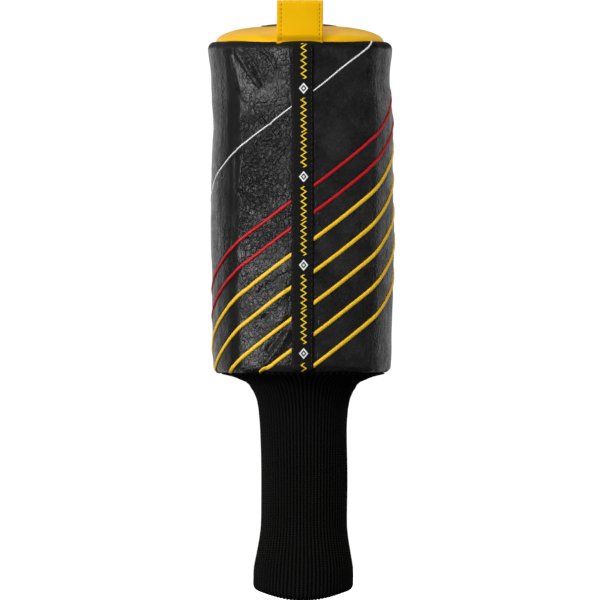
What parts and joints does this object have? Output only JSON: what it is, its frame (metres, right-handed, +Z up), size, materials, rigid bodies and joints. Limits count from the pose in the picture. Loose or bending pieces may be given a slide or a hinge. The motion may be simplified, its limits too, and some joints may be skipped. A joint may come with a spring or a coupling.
{
  "type": "golf club headcover",
  "caption": "Padded barrel headcover for a golf fairway wood: domed crown, pull tab, stitched helical stripes, back ribbon and a long ribbed knit sock.",
  "frame": {"origin": "centre of the knit sock's mouth, on the axis of the bore through the sock", "axes": "+Z up the barrel's axis from the sock to the crown; the back seam, with its ribbon and pull tab, faces -Y"},
  "size_m": [0.102, 0.1035, 0.3299],
  "materials": {
    "black_leather": "satin, grained synthetic leather",
    "yellow_leather": "satin, fine-grained synthetic leather",
    "patch_leather": "smooth satin",
    "foam": "matt open-cell foam",
    "fleece": "matt short-pile fleece",
    "woven_ribbon": "matt woven tape",
    "white_thread": "satin-stitched polyester thread",
    "red_thread": "satin-stitched polyester thread",
    "yellow_thread": "satin-stitched polyester thread",
    "black_thread": "polyester sewing thread",
    "brown_thread": "polyester sewing thread",
    "rib_knit": "matt ribbed acrylic knit"
  },
  "bodies": {
    "barrel": {"body_shell": "black_leather", "body_foam": "foam", "body_lining": "fleece", "crown_panel": "yellow_leather", "crown_foam": "foam", "crown_lining": "fleece", "crown_patch": "patch_leather", "patch_stitches": "black_thread", "back_ribbon": "woven_ribbon", "ribbon_stitches": "black_thread", "white_stripe": "white_thread", "red_stripe_1": "red_thread", "red_stripe_2": "red_thread", "yellow_stripe_1": "yellow_thread", "yellow_stripe_2": "yellow_thread", "yellow_stripe_3": "yellow_thread", "yellow_stripe_4": "yellow_thread", "yellow_stripe_5": "yellow_thread", "sock_neck": "rib_knit"},
    "sock": {"sock_outer_layer": "rib_knit", "sock_inner_layer": "rib_knit"},
    "pull_tab": {"pull_tab": "yellow_leather", "pull_tab_stitches": "brown_thread"}
  },
  "joints": [
    {"name": "sock_bend", "type": "hinge", "parent": "barrel", "child": "sock", "pos_m": [0, 0, 0.114], "axis": [1, 0, 0], "range_deg": [-60, 60], "stiffness_Nm_per_rad": 0.01, "deforming": ["sock_neck"]},
    {"name": "tab_bend", "type": "hinge", "parent": "barrel", "child": "pull_tab", "pos_m": [0, -0.0466, 0.3093], "axis": [1, 0, 0], "range_deg": [-35, 90], "stiffness_Nm_per_rad": 0.01}
  ]
}
